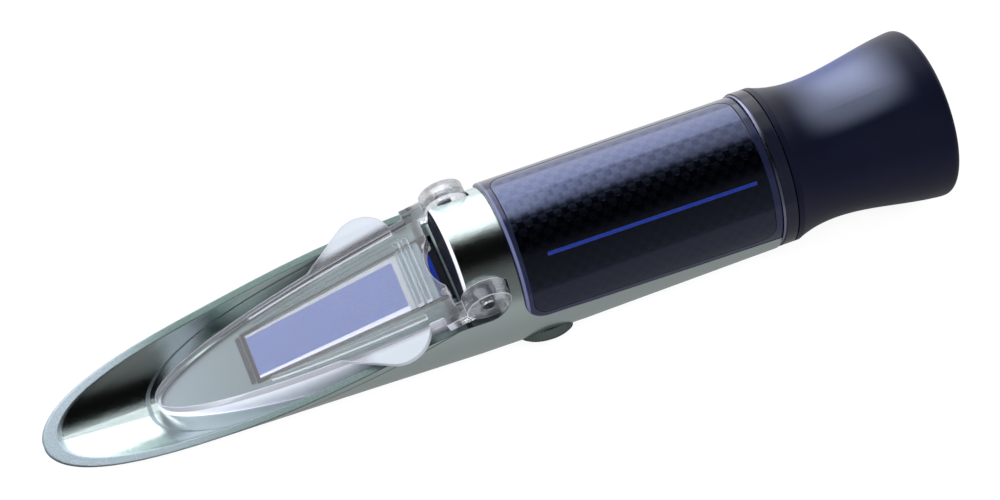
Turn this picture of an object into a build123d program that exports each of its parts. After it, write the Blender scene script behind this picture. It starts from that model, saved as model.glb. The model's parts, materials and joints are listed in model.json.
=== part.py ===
from build123d import *
import math
import os

# Handheld refractometer, in millimetres. The X axis is the optical axis, from the nose (-X) to the eye (+X),
# +Z is up, and the origin is where the optical axis leaves the mouth of the eyecup.

# Lengths along the optical axis, from the eye end forwards
cup_length = 35.9
ring_width = 3.4
sleeve_length = 56.3
nose_length = 99.0

# Outer body: flat keel, rounded flanks and a round barrel top
barrel_radius = 15.2
barrel_edge = 0.8
flank_height = -1.4
nose_half_width = 14.6
nose_flat = 0.2
nose_bottom = -12.9
heel_half_width = 15.9
waist_half_width = 16.2
keel_flat = 4.0
keel_bottom = -18.2
heel_to_sleeve = 9.4
sleeve_to_waist = 13.6
tail_flat = 3.0
tail_bottom = -16.6

# Open nose: rim line, scoop and the raised island that carries the prism
rim_tip = -12.88
rim_low_run = 24.3
rim_low = -8.25
rim_middle_run = 45.0
rim_middle = -4.3
rim_high_run = 60.0
rim_high = -0.4
scoop_wall = 1.6
scoop_floor_wall = 0.9
scoop_start = 2.6
island_inset = 0.5
island_drop = 0.2

# Hinge of the daylight plate
hinge_to_sleeve = 7.5
hinge_height = 9.7
ear_radius = 4.7
ear_inner = 10.3
ear_outer = 13.9
pin_radius = 1.5
pin_grip = 3.2
pin_recess = 1.0
pocket_front = 6.4
pocket_gap = 0.3
cheek_gap = 0.2
front_face_to_sleeve = 11.6

# Daylight plate
plate_angle = 16.2
plate_length = 70.1
plate_thickness = 2.9
plate_above_pin = 0.35
plate_half_width = 12.5
plate_ogive = 86.4
cutout_radius = 8.5
web_end_run = 6.4
arm_run = 9.4
rib_run = 12.4
rib_width = 1.1
rib_height = 0.9
rib_half_length = 7.4
rib_spacing = 1.9
rail_width = 1.0
rail_height = 0.5
rail_start_run = 46.0
rail_inset = 1.2
tab_radius = 6.8
tab_run = 19.0
tab_reach = 17.0
tab_tail_run = 31.0
tab_tail_reach = 10.6
tab_tail_radius = 1.5
tab_thickness = 1.5
film_gap = 0.15

# Prism and its seat
prism_front_run = 48.6
prism_rear_run = 7.8
prism_front_half = 5.0
prism_hinge_half = 6.9
prism_front_depth = 4.2
prism_rear_bottom = -5.0
seal_width = 0.9
seal_drop = 0.5
seal_height = 1.2
clamp_length = 2.7
clamp_half_width = 6.6
clamp_drop = 0.4
clamp_screw_radius = 0.8
clamp_screw_offset = 5.5
clamp_screw_bite = 3.0
passage_half_width = 4.4
passage_top = 0.6
passage_bottom = -4.6

# Optical bore and the pieces in it
bore_radius = 11.5
bore_start = 5.2
rear_bore_radius = 13.0
rear_bore_length = 14.0
window_thickness = 1.5
window_ring_width = 1.8
window_ring_wall = 2.0
mask_thickness = 0.6
mask_rim = 1.2
mask_half_width = 9.0
mask_bottom = 6.6

# Objective: holder, carrier that the adjusting knob shifts, lens and compensating strip
knob_behind_sleeve = 5.6
knob_angle = 45.0
knob_radius = 5.6
knob_reach = 18.9
knob_height = 2.4
knob_dome = 0.8
knob_shaft_radius = 2.0
knob_shaft_end = 7.0
bush_radius = 3.4
bush_length = 3.6
knob_seal_height = 0.5
knob_seal_wall = 1.0
holder_length = 13.0
carrier_half_width = 6.6
carrier_half_height = 7.2
carrier_length = 7.0
carrier_travel = 0.35
lug_half_width = 3.6
lug_reach = 9.6
nut_depth = 3.4
objective_radius = 5.4
objective_edge = 1.6
objective_middle = 2.6
objective_lip = 0.8
objective_ring_width = 1.0
strip_width = 4.6
strip_length = 9.0
strip_thickness = 0.6
strip_screw_radius = 0.6
strip_screw_head = 1.0
strip_screw_head_height = 0.4
strip_screw_length = 1.2
strip_screw_spacing = 3.0

# Optical tube, stops and scale
tube_wall = 0.7
stop_thickness = 0.8
stop_hole = 5.0
scale_radius = 8.0
scale_thickness = 1.6
scale_holder_length = 7.0
scale_ring_width = 2.0
scale_lip = 1.0
lock_ring_width = 2.0
lock_ring_wall = 2.4

# Eyepiece: fixed tube, turning focus ring, sliding cell with two lenses
eye_tube_radius = 12.5
eye_tube_wall = 1.6
eye_tube_rear = 14.5
focus_seal_front = 18.5
focus_seal_width = 1.2
focus_seal_depth = 0.5
focus_ring_wall = 1.2
focus_ring_front = 33.5
focus_ring_rear = 9.8
focus_ring_lip = 1.4
focus_ring_lip_width = 1.0
cell_wall = 1.2
cell_front = 26.0
cell_length = 11.0
cell_travel = 1.5
cell_lip = 1.0
cell_lip_width = 0.8
field_lens_edge = 1.4
field_lens_middle = 2.4
eye_lens_edge = 1.8
eye_lens_middle = 3.2
cell_ring_width = 1.4
guide_pin_radius = 0.9
guide_pin_from_front = 5.0

# Rubber eyecup: its wall over the focus ring, and where its outline turns
cup_base_wall = 2.95
cup_base_width = 1.2
cup_shoulder_wall = 1.55
cup_shoulder_x = -29.5
cup_neck_wall = 1.25
cup_neck_x = -24.5
cup_flare_wall = 2.8
cup_flare_x = -12.5
cup_rim_wall = 4.45
cup_rim_x = -2.0
cup_mouth_step = 0.75
cup_mouth_depth = 9.0
cup_edge_radius = 1.4

# Grip sleeve and its rings
sleeve_radius = 16.2
sleeve_wall = 1.7
sleeve_edge_front = 1.1
sleeve_edge_rear = -1.2
sleeve_corner = 5.0
sleeve_edge = 0.4
label_depth = 0.35
label_gap = 0.1
label_edge = 0.15
label_inset = 1.7
label_far_edge = 11.8
label_corner = 3.2
trim_ring_width = 0.6
trim_ring_radius = 16.45
end_ring_radius = 16.7

# Fits
fixed_gap = 0.05
running_gap = 0.05
clear_gap = 0.3

# Stations worked out from the lengths
sleeve_rear_x = -(cup_length + ring_width)
sleeve_front_x = sleeve_rear_x - sleeve_length
nose_tip_x = sleeve_front_x - nose_length
hinge_x = sleeve_front_x - hinge_to_sleeve
front_face_x = sleeve_front_x - front_face_to_sleeve
heel_x = sleeve_front_x - heel_to_sleeve
waist_x = sleeve_front_x + sleeve_to_waist
pocket_front_x = hinge_x - pocket_front
pocket_floor = hinge_height - ear_radius - pocket_gap
bore_x = sleeve_front_x - bore_start
cup_base_x = -cup_length
rear_bore_x = cup_base_x - rear_bore_length
barrel_end_x = cup_base_x - clear_gap
knob_x = sleeve_front_x + knob_behind_sleeve
seat_radius = sleeve_radius - sleeve_wall - fixed_gap
mask_radius = barrel_radius - mask_rim
focus_bore = eye_tube_radius + running_gap
focus_radius = focus_bore + focus_ring_wall
cup_mouth_radius = focus_radius + cup_mouth_step
cup_rim_radius = focus_radius + cup_rim_wall
bore_fit = bore_radius - fixed_gap

# The plate's own plane: its X axis runs up the slope to the hinge, its Z axis is the plate's normal
slope = math.radians(plate_angle)
hinge_centre = Vector(hinge_x, 0, hinge_height)
plate_normal = Vector(-math.sin(slope), 0, math.cos(slope))
hinge_plane = Plane(origin=hinge_centre, x_dir=(math.cos(slope), 0, math.sin(slope)), z_dir=plate_normal)
plate_top = hinge_plane.offset(plate_above_pin)
plate_bottom = hinge_plane.offset(plate_above_pin - plate_thickness)
prism_face = hinge_plane.offset(plate_above_pin - plate_thickness - film_gap)
island_face = hinge_plane.offset(plate_above_pin - plate_thickness - film_gap - island_drop)


def slope_x(run):
    """X of a point on the prism face at a distance down the slope from the hinge."""
    return hinge_x - run * math.cos(slope)


def slope_z(run):
    """Z of a point on the prism face at a distance down the slope from the hinge."""
    return prism_face.origin.Z - run * math.sin(slope)


def pod_outline(half_width, flat, bottom):
    """Section of the body across X: flat keel, two elliptical flanks and a half-ellipse top."""
    flank_radius = half_width - flat
    flank_depth = flank_height - bottom
    with BuildSketch(mode=Mode.PRIVATE) as outline:
        with BuildLine():
            EllipticalCenterArc((0, flank_height), half_width, barrel_radius - flank_height, 0, arc_size=180)
            EllipticalCenterArc((-flat, flank_height), flank_radius, flank_depth, 180, arc_size=90)
            Line((-flat, bottom), (flat, bottom))
            EllipticalCenterArc((flat, flank_height), flank_radius, flank_depth, 270, arc_size=90)
        make_face()
    return outline.sketch


def ogive(inset, end_run):
    """Plan of the plate: a long half-ellipse, tip towards the nose, cut off square at the hinge end."""
    with BuildSketch(mode=Mode.PRIVATE) as outline:
        with Locations((plate_ogive - plate_length, 0)):
            Ellipse(plate_ogive - inset, plate_half_width - inset)
        with Locations((-end_run, 0)):
            Rectangle(4 * plate_ogive, 4 * plate_half_width, align=(Align.MIN, Align.CENTER), mode=Mode.SUBTRACT)
    return outline.sketch


def taper(front_run, front_half, hinge_half):
    """Plan of the prism or its seat: a long trapezoid that widens towards the hinge."""
    with BuildSketch(mode=Mode.PRIVATE) as outline:
        with BuildLine():
            corners = [(-front_run, -front_half), (0, -hinge_half), (0, hinge_half), (-front_run, front_half)]
            Polyline(*corners, close=True)
        make_face()
    return outline.sketch


def wedge(front_run, front_depth, rear_x, rear_bottom, rise):
    """Side view of the prism or its seat: a wedge that is deepest at its upright rear face."""
    with BuildSketch(mode=Mode.PRIVATE) as outline:
        with BuildLine():
            front_x = slope_x(front_run)
            Polyline(
                (front_x, slope_z(front_run) + rise),
                (front_x, slope_z(front_run) - front_depth),
                (rear_x, rear_bottom),
                (rear_x, slope_z((hinge_x - rear_x) / math.cos(slope)) + rise),
                close=True,
            )
        make_face()
    return outline.sketch


def round_part(x_front, x_rear, outer, inner=0.0):
    """Plain disc, tube or ring on the optical axis."""
    with BuildPart() as tube:
        with BuildSketch(Plane.YZ.offset(x_front)):
            Circle(outer)
            if inner > 0:
                Circle(inner, mode=Mode.SUBTRACT)
        extrude(amount=x_rear - x_front)
    return tube.part


def lens_part(x_front, radius, clear_radius, edge, middle):
    """Lens on the optical axis with a flat rim outside its two curved faces; x_front is where its rim starts."""
    bulge = (middle - edge) / 2
    sphere = (clear_radius**2 + bulge**2) / (2 * bulge)
    half_turn = math.asin(clear_radius / sphere) / 2
    mid_height = sphere * math.sin(half_turn)
    mid_bulge = bulge - sphere * (1 - math.cos(half_turn))
    x_rear = x_front + edge
    with BuildPart() as lens:
        with BuildSketch(Plane.XZ):
            with BuildLine():
                Line((x_front - bulge, 0), (x_rear + bulge, 0))
                ThreePointArc((x_rear + bulge, 0), (x_rear + mid_bulge, mid_height), (x_rear, clear_radius))
                Polyline((x_rear, clear_radius), (x_rear, radius), (x_front, radius), (x_front, clear_radius))
                ThreePointArc((x_front, clear_radius), (x_front - mid_bulge, mid_height), (x_front - bulge, 0))
            make_face()
        revolve(axis=Axis.X)
    return lens.part


os.makedirs("parts", exist_ok=True)


def finish(shape, label):
    """Names a finished piece and writes its file."""
    shape.label = label
    export_step(shape, "parts/" + label + ".step")


# Body shape before any cuts: nose, heel, waist and tail sections
nose = (nose_tip_x, nose_half_width, nose_flat, nose_bottom)
heel = (heel_x, heel_half_width, keel_flat, keel_bottom)
waist = (waist_x, waist_half_width, keel_flat, keel_bottom)
tail = (sleeve_rear_x, sleeve_radius, tail_flat, tail_bottom)
with BuildPart() as pod:
    for pair in ((nose, heel), (heel, waist), (waist, tail)):
        for x, half_width, flat, bottom in pair:
            with BuildSketch(Plane.YZ.offset(x)):
                add(pod_outline(half_width, flat, bottom))
        loft(ruled=True)

# Scoop: the nose and heel sections again, thinner by the wall
with BuildPart() as scoop:
    for x, half_width, flat, bottom in (nose, heel):
        with BuildSketch(Plane.YZ.offset(x)):
            add(pod_outline(half_width - scoop_wall, flat, bottom + scoop_floor_wall))
    loft(ruled=True)
    with BuildSketch(Plane.XZ):
        with Locations((nose_tip_x + scoop_start, 0)):
            Rectangle(pocket_front_x - nose_tip_x - scoop_start, 4 * barrel_radius, align=(Align.MIN, Align.CENTER))
    extrude(amount=2 * barrel_radius, both=True, mode=Mode.INTERSECT)

# Raised island that carries the prism, cut to the body's own shape below
with BuildPart() as island:
    with BuildSketch(island_face):
        add(ogive(island_inset, 0))
    extrude(amount=-2 * barrel_radius)
    with BuildSketch(Plane.XZ):
        with Locations((front_face_x, 0)):
            Rectangle(2 * nose_length, 6 * barrel_radius, align=(Align.MAX, Align.CENTER))
    extrude(amount=2 * barrel_radius, both=True, mode=Mode.INTERSECT)
    add(pod.part, mode=Mode.INTERSECT)

# Seat for the prism, its seal and its clamp
prism_rear_x = slope_x(prism_rear_run)
clamp_x = prism_rear_x + fixed_gap
seat_rear_x = clamp_x + clamp_length + fixed_gap
seat_front_run = prism_front_run + seal_width + fixed_gap
seat_front_half = prism_front_half + seal_width + fixed_gap
seat_hinge_half = prism_hinge_half + seal_width + fixed_gap
seat_depth = prism_front_depth + fixed_gap
seat_bottom = prism_rear_bottom - fixed_gap
with BuildPart() as prism_seat:
    with BuildSketch(prism_face):
        add(taper(seat_front_run, seat_front_half, seat_hinge_half))
    extrude(amount=2 * barrel_radius, both=True)
    with BuildSketch(Plane.XZ):
        add(wedge(seat_front_run, seat_depth, seat_rear_x, seat_bottom, barrel_radius))
    extrude(amount=barrel_radius, both=True, mode=Mode.INTERSECT)

# Side view of the grip sleeve: sloping lower edge with one rounded corner at the front
with BuildSketch() as sleeve_side:
    with BuildLine():
        Polyline(
            (sleeve_front_x, sleeve_edge_front),
            (sleeve_rear_x, sleeve_edge_rear),
            (sleeve_rear_x, 2 * sleeve_radius),
            (sleeve_front_x, 2 * sleeve_radius),
            close=True,
        )
    make_face()
    fillet(sleeve_side.vertices().sort_by(Axis.X)[:2].sort_by(Axis.Y)[0], sleeve_corner)

# Room that the sleeve takes out of the body
with BuildPart() as sleeve_room:
    add(round_part(sleeve_front_x, sleeve_rear_x, 2 * sleeve_radius, seat_radius))
    with BuildSketch(Plane.XZ):
        add(sleeve_side.sketch)
    extrude(amount=2 * sleeve_radius, both=True, mode=Mode.INTERSECT)

# The adjusting knob's own plane: its Z axis points out of the body, down and to one side
knob_turn = math.radians(knob_angle)
knob_axis = Vector(0, -math.cos(knob_turn), -math.sin(knob_turn))
knob_plane = Plane(origin=(knob_x, 0, 0), x_dir=(1, 0, 0), z_dir=knob_axis)
knob_foot = knob_reach - knob_height
bush_top = knob_foot - clear_gap - knob_seal_height
bush_foot = bush_top - bush_length

# Body casting: open nose, barrel, keel and the bores
with BuildPart() as body:
    add(pod.part)
    with BuildSketch(Plane.YZ.offset(sleeve_rear_x)):
        Circle(seat_radius)
    extrude(amount=barrel_end_x - sleeve_rear_x)
    with BuildSketch(Plane.XZ):
        with BuildLine():
            Spline(
                (nose_tip_x, rim_tip),
                (nose_tip_x + rim_low_run, rim_low),
                (nose_tip_x + rim_middle_run, rim_middle),
                (nose_tip_x + rim_high_run, rim_high),
                (pocket_front_x, pocket_floor),
            )
            Polyline(
                (pocket_front_x, pocket_floor),
                (front_face_x, pocket_floor),
                (front_face_x, 2 * barrel_radius),
                (nose_tip_x - barrel_radius, 2 * barrel_radius),
                (nose_tip_x - barrel_radius, rim_tip),
                (nose_tip_x, rim_tip),
            )
        make_face()
    extrude(amount=2 * barrel_radius, both=True, mode=Mode.SUBTRACT)
    add(scoop.part, mode=Mode.SUBTRACT)
    add(island.part)
    # Pockets for the plate's ears, outside two flat cheeks
    cheek = ear_inner - cheek_gap
    pocket_radius = ear_radius + pocket_gap
    for side in (1, -1):
        with BuildSketch(Plane.XZ.offset(-side * cheek)):
            with Locations((hinge_x, hinge_height)):
                Circle(pocket_radius)
                Rectangle(pocket_radius, barrel_radius, align=(Align.MIN, Align.MIN))
            with Locations((pocket_front_x, pocket_floor)):
                Rectangle(pocket_front, 2 * barrel_radius, align=(Align.MIN, Align.MIN))
        extrude(amount=-side * barrel_radius, mode=Mode.SUBTRACT)
    with BuildSketch(Plane.XZ.offset(-cheek)):
        with Locations((hinge_x, hinge_height)):
            Circle(pin_radius + fixed_gap)
    extrude(amount=pin_grip + fixed_gap, mode=Mode.SUBTRACT)
    with BuildSketch(Plane.XZ.offset(cheek)):
        with Locations((hinge_x, hinge_height)):
            Circle(pin_radius + fixed_gap)
    extrude(amount=-pin_grip - fixed_gap, mode=Mode.SUBTRACT)
    # Prism seat, the holes of its clamp screws and the light's way to the bore
    add(prism_seat.part, mode=Mode.SUBTRACT)
    with BuildSketch(Plane.XY.offset(seat_bottom)):
        with Locations((clamp_x + clamp_length / 2, clamp_screw_offset)):
            Circle(clamp_screw_radius + fixed_gap)
        with Locations((clamp_x + clamp_length / 2, -clamp_screw_offset)):
            Circle(clamp_screw_radius + fixed_gap)
    extrude(amount=-clamp_screw_bite, mode=Mode.SUBTRACT)
    with BuildSketch(Plane.YZ.offset(seat_rear_x - fixed_gap)):
        with Locations((0, passage_bottom)):
            Rectangle(2 * passage_half_width, passage_top - passage_bottom, align=(Align.CENTER, Align.MIN))
    extrude(amount=bore_x - seat_rear_x + 2 * fixed_gap, mode=Mode.SUBTRACT)
    with BuildSketch(Plane.YZ.offset(bore_x)):
        Circle(bore_radius)
    extrude(amount=barrel_end_x - bore_x, mode=Mode.SUBTRACT)
    with BuildSketch(Plane.YZ.offset(rear_bore_x)):
        Circle(rear_bore_radius)
    extrude(amount=barrel_end_x - rear_bore_x, mode=Mode.SUBTRACT)
    # Rounded front edge of the barrel, and the recess for the dark mask on its front face
    fillet(body.edges().filter_by_position(Axis.X, front_face_x, front_face_x).sort_by(Axis.Z)[-1], barrel_edge)
    with BuildSketch(Plane.YZ.offset(front_face_x)):
        Circle(mask_radius)
        with Locations((0, mask_bottom)):
            Rectangle(2 * mask_half_width, mask_radius, align=(Align.CENTER, Align.MIN), mode=Mode.INTERSECT)
    extrude(amount=mask_thickness, mode=Mode.SUBTRACT)
    add(sleeve_room.part, mode=Mode.SUBTRACT)
    # Seat of the adjusting knob and the hole of its bush
    with BuildSketch(knob_plane.offset(knob_foot - clear_gap)):
        Circle(knob_radius + clear_gap)
    extrude(amount=barrel_radius, mode=Mode.SUBTRACT)
    with BuildSketch(knob_plane):
        Circle(bush_radius + fixed_gap)
    extrude(amount=knob_foot, mode=Mode.SUBTRACT)
finish(body.part, "body")

# Prism, its seal and its clamp
with BuildPart() as prism:
    with BuildSketch(prism_face):
        add(taper(prism_front_run, prism_front_half, prism_hinge_half))
    extrude(amount=-2 * barrel_radius)
    with BuildSketch(Plane.XZ):
        add(wedge(prism_front_run, prism_front_depth, prism_rear_x, prism_rear_bottom, barrel_radius))
    extrude(amount=barrel_radius, both=True, mode=Mode.INTERSECT)
finish(prism.part, "prism")

with BuildPart() as prism_seal:
    with BuildSketch(island_face.offset(-seal_drop)):
        add(taper(seat_front_run - fixed_gap, seat_front_half - fixed_gap, seat_hinge_half - fixed_gap))
        prism_hole = taper(prism_front_run + fixed_gap, prism_front_half + fixed_gap, prism_hinge_half + fixed_gap)
        add(prism_hole, mode=Mode.SUBTRACT)
    extrude(amount=-seal_height)
    with BuildSketch(Plane.XZ):
        with Locations((prism_rear_x, 0)):
            Rectangle(nose_length, 4 * barrel_radius, align=(Align.MAX, Align.CENTER))
    extrude(amount=barrel_radius, both=True, mode=Mode.INTERSECT)
finish(prism_seal.part, "prism_seal")

clamp_top = slope_z(prism_rear_run) - island_drop - clamp_drop
with BuildPart() as prism_clamp:
    with BuildSketch(Plane.YZ.offset(clamp_x)):
        with Locations((0, prism_rear_bottom)):
            Rectangle(2 * clamp_half_width, clamp_top - prism_rear_bottom, align=(Align.CENTER, Align.MIN))
            passage_height = passage_top - prism_rear_bottom
            Rectangle(2 * passage_half_width, passage_height, align=(Align.CENTER, Align.MIN), mode=Mode.SUBTRACT)
    extrude(amount=clamp_length)
    with BuildSketch(Plane.XY.offset(clamp_top)):
        with Locations((clamp_x + clamp_length / 2, clamp_screw_offset)):
            Circle(clamp_screw_radius + fixed_gap)
        with Locations((clamp_x + clamp_length / 2, -clamp_screw_offset)):
            Circle(clamp_screw_radius + fixed_gap)
    extrude(amount=prism_rear_bottom - clamp_top, mode=Mode.SUBTRACT)
finish(prism_clamp.part, "prism_clamp")

with BuildPart() as clamp_screws:
    with BuildSketch(Plane.XY.offset(clamp_top)):
        with Locations((clamp_x + clamp_length / 2, clamp_screw_offset)):
            Circle(clamp_screw_radius)
        with Locations((clamp_x + clamp_length / 2, -clamp_screw_offset)):
            Circle(clamp_screw_radius)
    extrude(amount=seat_bottom + fixed_gap - clamp_screw_bite - clamp_top)
finish(clamp_screws.part, "clamp_screws")

with BuildPart() as front_mask:
    with BuildSketch(Plane.YZ.offset(front_face_x + mask_thickness)):
        Circle(mask_radius - fixed_gap)
        with Locations((0, mask_bottom + fixed_gap)):
            mask_width = 2 * (mask_half_width - fixed_gap)
            Rectangle(mask_width, mask_radius, align=(Align.CENTER, Align.MIN), mode=Mode.INTERSECT)
    extrude(amount=-mask_thickness)
finish(front_mask.part, "front_mask")

# Hinge pins, one in each cheek, and the clear plate that swings on them
with BuildPart() as hinge_pins:
    for side in (1, -1):
        with BuildSketch(Plane.XZ.offset(-side * (cheek - pin_grip))):
            with Locations((hinge_x, hinge_height)):
                Circle(pin_radius)
        extrude(amount=-side * (ear_outer - pin_recess - cheek + pin_grip))
finish(hinge_pins.part, "hinge_pins")

with BuildPart() as daylight_plate:
    with BuildSketch(plate_bottom):
        add(ogive(0, web_end_run))
        Circle(cutout_radius, mode=Mode.SUBTRACT)
        for side, edge in ((1, Align.MIN), (-1, Align.MAX)):
            with Locations((-arm_run, side * ear_inner)):
                Rectangle(arm_run, ear_outer - ear_inner, align=(Align.MIN, edge))
    extrude(amount=plate_thickness)
    # Transverse ribs and side rails on the upper face
    with BuildSketch(plate_top):
        with Locations((-rib_run, 0), (-rib_run + rib_spacing, 0)):
            Rectangle(rib_width, 2 * rib_half_length)
    extrude(amount=rib_height)
    with BuildSketch(plate_top):
        add(ogive(rail_inset, rib_run))
        add(ogive(rail_inset + rail_width, 0), mode=Mode.SUBTRACT)
        with Locations((-rail_start_run, 0)):
            Rectangle(rail_start_run, 4 * plate_half_width, align=(Align.MIN, Align.CENTER), mode=Mode.INTERSECT)
    extrude(amount=rail_height)
    # Finger tabs at both sides
    for side in (1, -1):
        with BuildSketch(plate_top):
            with BuildLine():
                CenterArc((-tab_run, side * (tab_reach - tab_radius)), tab_radius, 0, 360)
                CenterArc((-tab_tail_run, side * (tab_tail_reach - tab_tail_radius)), tab_tail_radius, 0, 360)
            make_hull()
        extrude(amount=-tab_thickness)
    # Ears around the pins
    for side in (1, -1):
        with BuildSketch(Plane.XZ.offset(-side * ear_inner)):
            with Locations((hinge_x, hinge_height)):
                Circle(ear_radius)
        extrude(amount=-side * (ear_outer - ear_inner))
        with BuildSketch(Plane.XZ.offset(-side * ear_inner)):
            with Locations((hinge_x, hinge_height)):
                Circle(pin_radius + running_gap)
        extrude(amount=-side * (ear_outer - ear_inner), mode=Mode.SUBTRACT)
finish(daylight_plate.part, "daylight_plate")

# Window that closes the bore, its ring and the first light stop
window_rear_x = bore_x + window_thickness
finish(round_part(bore_x + fixed_gap, window_rear_x, bore_fit), "bore_window")
window_ring_rear_x = window_rear_x + fixed_gap + window_ring_width
window_ring = round_part(window_rear_x + fixed_gap, window_ring_rear_x, bore_fit, bore_fit - window_ring_wall)
finish(window_ring, "window_ring")
holder_front_x = knob_x - holder_length / 2
holder_rear_x = knob_x + holder_length / 2
front_stop_x = window_ring_rear_x + fixed_gap
finish(round_part(front_stop_x, front_stop_x + stop_thickness, bore_fit, stop_hole), "front_stop")


def across(x):
    """Plane across the optical axis whose Y axis points away from the adjusting knob."""
    return Plane(origin=(x, 0, 0), x_dir=(0, math.sin(knob_turn), -math.cos(knob_turn)), z_dir=(1, 0, 0))


# Holder with a straight guide, in which the objective's carrier is shifted by the knob
guide_low = carrier_half_height + carrier_travel + clear_gap
guide_high = guide_low + strip_screw_head_height
with BuildPart() as objective_holder:
    with BuildSketch(across(holder_front_x)):
        Circle(bore_fit)
        with Locations((0, -guide_low)):
            guide_width = 2 * (carrier_half_width + running_gap)
            Rectangle(guide_width, guide_low + guide_high, align=(Align.CENTER, Align.MIN), mode=Mode.SUBTRACT)
        lug_room = lug_reach + carrier_travel + clear_gap
        lug_width = 2 * (lug_half_width + clear_gap)
        Rectangle(lug_width, lug_room, align=(Align.CENTER, Align.MAX), mode=Mode.SUBTRACT)
    extrude(amount=holder_length)
    with BuildSketch(knob_plane):
        Circle(knob_shaft_radius + clear_gap)
    extrude(amount=2 * bore_radius, mode=Mode.SUBTRACT)
finish(objective_holder.part, "objective_holder")

carrier_front_x = knob_x - carrier_length / 2
lens_front_x = carrier_front_x + objective_ring_width + 2 * fixed_gap + (objective_middle - objective_edge) / 2
strip_floor = carrier_half_height - strip_thickness
strip_plane = Plane(origin=knob_axis * -strip_floor + Vector(knob_x, 0, 0), x_dir=(1, 0, 0), z_dir=-knob_axis)
with BuildPart() as objective_carrier:
    with BuildSketch(across(carrier_front_x)):
        Rectangle(2 * carrier_half_width, 2 * carrier_half_height)
        Rectangle(2 * lug_half_width, lug_reach, align=(Align.CENTER, Align.MAX))
        Circle(objective_radius - objective_lip, mode=Mode.SUBTRACT)
        with Locations((0, carrier_half_height)):
            strip_slot = 2 * fixed_gap + strip_width
            Rectangle(strip_slot, strip_thickness, align=(Align.CENTER, Align.MAX), mode=Mode.SUBTRACT)
    extrude(amount=carrier_length)
    with BuildSketch(across(carrier_front_x)):
        Circle(objective_radius + fixed_gap)
    extrude(amount=lens_front_x + objective_edge + fixed_gap - carrier_front_x, mode=Mode.SUBTRACT)
    with BuildSketch(knob_plane.offset(lug_reach - nut_depth)):
        Circle(knob_shaft_radius + running_gap)
    extrude(amount=nut_depth, mode=Mode.SUBTRACT)
    with BuildSketch(strip_plane):
        with GridLocations(strip_screw_spacing, 0, 2, 1):
            Circle(strip_screw_radius + fixed_gap)
    extrude(amount=strip_thickness - strip_screw_length - fixed_gap, mode=Mode.SUBTRACT)
finish(objective_carrier.part, "objective_carrier")
ring_hole = objective_radius - objective_lip
clear_aperture = ring_hole - fixed_gap
objective_lens = lens_part(lens_front_x, objective_radius, clear_aperture, objective_edge, objective_middle)
finish(objective_lens, "objective_lens")
objective_ring = round_part(carrier_front_x, carrier_front_x + objective_ring_width, objective_radius, ring_hole)
finish(objective_ring, "objective_ring")

# Bimetal strip that shifts with temperature, and its screws
strip_front_x = carrier_front_x + clear_gap
with BuildPart() as bimetal_strip:
    with BuildSketch(strip_plane):
        with Locations((strip_front_x - knob_x, 0)):
            Rectangle(strip_length, strip_width, align=(Align.MIN, Align.CENTER))
        with GridLocations(strip_screw_spacing, 0, 2, 1):
            Circle(strip_screw_radius + fixed_gap, mode=Mode.SUBTRACT)
    extrude(amount=strip_thickness)
finish(bimetal_strip.part, "bimetal_strip")

with BuildPart() as strip_screws:
    with BuildSketch(strip_plane.offset(strip_thickness)):
        with GridLocations(strip_screw_spacing, 0, 2, 1):
            Circle(strip_screw_head)
    extrude(amount=strip_screw_head_height)
    with BuildSketch(strip_plane.offset(strip_thickness)):
        with GridLocations(strip_screw_spacing, 0, 2, 1):
            Circle(strip_screw_radius)
    extrude(amount=-strip_screw_length)
finish(strip_screws.part, "strip_screws")

# Adjusting knob with its shaft, threaded bush and seal
with BuildPart() as adjusting_knob:
    with BuildSketch(knob_plane.offset(knob_foot)):
        Circle(knob_radius)
    extrude(amount=knob_height)
    fillet(adjusting_knob.edges().filter_by(GeomType.CIRCLE).sort_by_distance(knob_axis * knob_reach)[0], knob_dome)
    with BuildSketch(knob_plane.offset(knob_shaft_end)):
        Circle(knob_shaft_radius)
    extrude(amount=knob_foot - knob_shaft_end)
finish(adjusting_knob.part, "adjusting_knob")

with BuildPart() as knob_bush:
    with BuildSketch(knob_plane.offset(bush_foot)):
        Circle(bush_radius)
        Circle(knob_shaft_radius + running_gap, mode=Mode.SUBTRACT)
    extrude(amount=bush_length)
finish(knob_bush.part, "knob_bush")

with BuildPart() as knob_seal:
    with BuildSketch(knob_plane.offset(bush_top)):
        Circle(knob_shaft_radius + running_gap + knob_seal_wall)
        Circle(knob_shaft_radius + running_gap, mode=Mode.SUBTRACT)
    extrude(amount=knob_seal_height)
finish(knob_seal.part, "knob_seal")

# Optical tube, second stop, scale and the ring that locks them
lock_ring_x = rear_bore_x - lock_ring_width
scale_holder_x = lock_ring_x - fixed_gap - scale_holder_length
rear_stop_x = scale_holder_x - fixed_gap - stop_thickness
optical_tube = round_part(holder_rear_x + fixed_gap, rear_stop_x - fixed_gap, bore_fit, bore_fit - tube_wall)
finish(optical_tube, "optical_tube")
finish(round_part(rear_stop_x, rear_stop_x + stop_thickness, bore_fit, stop_hole), "rear_stop")
scale_seat_x = scale_holder_x + scale_holder_length - scale_ring_width - fixed_gap - scale_thickness
with BuildPart() as scale_holder:
    add(round_part(scale_holder_x, scale_holder_x + scale_holder_length, bore_fit, scale_radius - scale_lip))
    with BuildSketch(Plane.YZ.offset(scale_seat_x)):
        Circle(scale_radius + fixed_gap)
    extrude(amount=scale_holder_length, mode=Mode.SUBTRACT)
finish(scale_holder.part, "scale_holder")
finish(round_part(scale_seat_x, scale_seat_x + scale_thickness, scale_radius), "scale_glass")
scale_ring_x = scale_seat_x + scale_thickness + fixed_gap
scale_ring = round_part(scale_ring_x, scale_ring_x + scale_ring_width, scale_radius, scale_radius - scale_lip)
finish(scale_ring, "scale_ring")
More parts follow.
